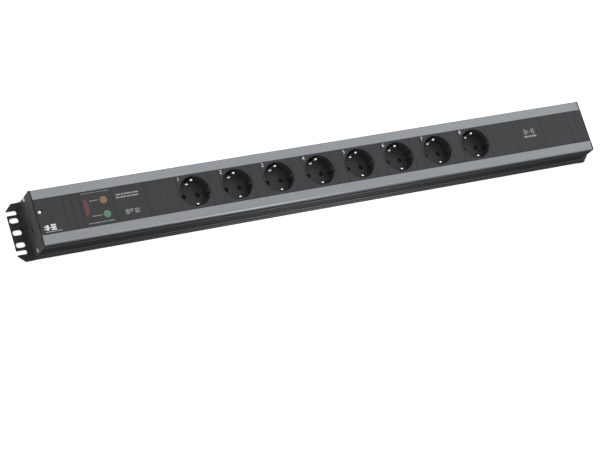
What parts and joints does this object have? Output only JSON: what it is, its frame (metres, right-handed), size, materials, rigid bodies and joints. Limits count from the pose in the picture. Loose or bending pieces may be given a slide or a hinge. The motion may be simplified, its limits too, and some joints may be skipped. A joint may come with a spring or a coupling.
{
  "type": "rack power strip",
  "caption": "Rack-mount power strip: ribbed aluminium profile with earthed recessed sockets, surge and radio modules, and slotted end brackets.",
  "frame": {"origin": "centre of the bounding box of the strip, on the plane of its back", "axes": "+X along the strip towards the supply inlet, +Y across the face, +Z out of the face"},
  "size_m": [0.831, 0.0756, 0.0497],
  "materials": {
    "profile_black": "black anodised extrusion",
    "strip_silver": "silver anodised, fine lengthwise grain",
    "bracket_black": "black powder coat",
    "zinc_screw": "bright zinc plate",
    "plate_black": "satin moulded",
    "socket_black": "satin moulded",
    "shutter_black": "moulded",
    "spring_steel": "bright wire",
    "brass": "stamped strip",
    "earth_nickel": "nickel plated spring strip",
    "carrier_natural": "moulded",
    "lens_amber": "translucent",
    "lens_green": "translucent",
    "lens_red": "dark translucent",
    "board_green": "solder resist",
    "varistor_blue": "dipped coating",
    "led_clear": "clear cast",
    "relay_case": "moulded case",
    "inlet_black": "moulded",
    "wire_brown": "insulated wire",
    "wire_blue": "insulated wire",
    "wire_green": "insulated wire"
  },
  "bodies": {
    "strip": {"base_profile": "profile_black", "upper_face_strip": "strip_silver", "lower_face_strip": "strip_silver", "left_bracket": "bracket_black", "right_bracket": "bracket_black", "bracket_screws": "zinc_screw", "end_module": "plate_black", "end_module_screw": "zinc_screw", "end_module_standoff": "brass", "narrow_fillers": "plate_black", "surge_cover": "plate_black", "label_cover": "plate_black", "lamp_cover": "plate_black", "blank_cover": "plate_black", "radio_cover": "plate_black", "last_cover": "plate_black", "socket_spacers": "plate_black", "line_rail": "brass", "neutral_rail": "brass", "earth_rail": "earth_nickel", "rail_carrier": "carrier_natural", "earth_bond_screw": "zinc_screw", "amber_lens": "lens_amber", "green_lens": "lens_green", "tell_tale_lens": "lens_red", "surge_board": "board_green", "surge_varistors": "varistor_blue", "indicator_leds": "led_clear", "radio_board": "board_green", "radio_relay": "relay_case", "inlet_body": "inlet_black", "inlet_pins": "brass", "inlet_screws": "zinc_screw", "line_wire": "wire_brown", "neutral_wire": "wire_blue", "earth_wire": "wire_green", "socket_1": "socket_black", "socket_2": "socket_black", "socket_3": "socket_black", "socket_4": "socket_black", "socket_5": "socket_black", "socket_6": "socket_black", "socket_7": "socket_black", "socket_8": "socket_black"},
    "shutter_body_1": {"shutter_1": "shutter_black", "shutter_spring_1": "spring_steel"},
    "shutter_body_2": {"shutter_2": "shutter_black", "shutter_spring_2": "spring_steel"},
    "shutter_body_3": {"shutter_3": "shutter_black", "shutter_spring_3": "spring_steel"},
    "shutter_body_4": {"shutter_4": "shutter_black", "shutter_spring_4": "spring_steel"},
    "shutter_body_5": {"shutter_5": "shutter_black", "shutter_spring_5": "spring_steel"},
    "shutter_body_6": {"shutter_6": "shutter_black", "shutter_spring_6": "spring_steel"},
    "shutter_body_7": {"shutter_7": "shutter_black", "shutter_spring_7": "spring_steel"},
    "shutter_body_8": {"shutter_8": "shutter_black", "shutter_spring_8": "spring_steel"}
  },
  "joints": [
    {"name": "shutter_1_turn", "type": "hinge", "parent": "strip", "child": "shutter_body_1", "pos_m": [-0.18765, 0, 0.0275], "axis": [0, 0, 1], "range_deg": [0, 35], "stiffness_Nm_per_rad": 0.004, "springref_deg": -9.74},
    {"name": "shutter_2_turn", "type": "hinge", "parent": "strip", "child": "shutter_body_2", "pos_m": [-0.12935, 0, 0.0275], "axis": [0, 0, 1], "range_deg": [0, 35], "stiffness_Nm_per_rad": 0.004, "springref_deg": -9.74},
    {"name": "shutter_3_turn", "type": "hinge", "parent": "strip", "child": "shutter_body_3", "pos_m": [-0.07105, 0, 0.0275], "axis": [0, 0, 1], "range_deg": [0, 35], "stiffness_Nm_per_rad": 0.004, "springref_deg": -9.74},
    {"name": "shutter_4_turn", "type": "hinge", "parent": "strip", "child": "shutter_body_4", "pos_m": [-0.01275, 0, 0.0275], "axis": [0, 0, 1], "range_deg": [0, 35], "stiffness_Nm_per_rad": 0.004, "springref_deg": -9.74},
    {"name": "shutter_5_turn", "type": "hinge", "parent": "strip", "child": "shutter_body_5", "pos_m": [0.04555, 0, 0.0275], "axis": [0, 0, 1], "range_deg": [0, 35], "stiffness_Nm_per_rad": 0.004, "springref_deg": -9.74},
    {"name": "shutter_6_turn", "type": "hinge", "parent": "strip", "child": "shutter_body_6", "pos_m": [0.10385, 0, 0.0275], "axis": [0, 0, 1], "range_deg": [0, 35], "stiffness_Nm_per_rad": 0.004, "springref_deg": -9.74},
    {"name": "shutter_7_turn", "type": "hinge", "parent": "strip", "child": "shutter_body_7", "pos_m": [0.16215, 0, 0.0275], "axis": [0, 0, 1], "range_deg": [0, 35], "stiffness_Nm_per_rad": 0.004, "springref_deg": -9.74},
    {"name": "shutter_8_turn", "type": "hinge", "parent": "strip", "child": "shutter_body_8", "pos_m": [0.22045, 0, 0.0275], "axis": [0, 0, 1], "range_deg": [0, 35], "stiffness_Nm_per_rad": 0.004, "springref_deg": -9.74}
  ]
}
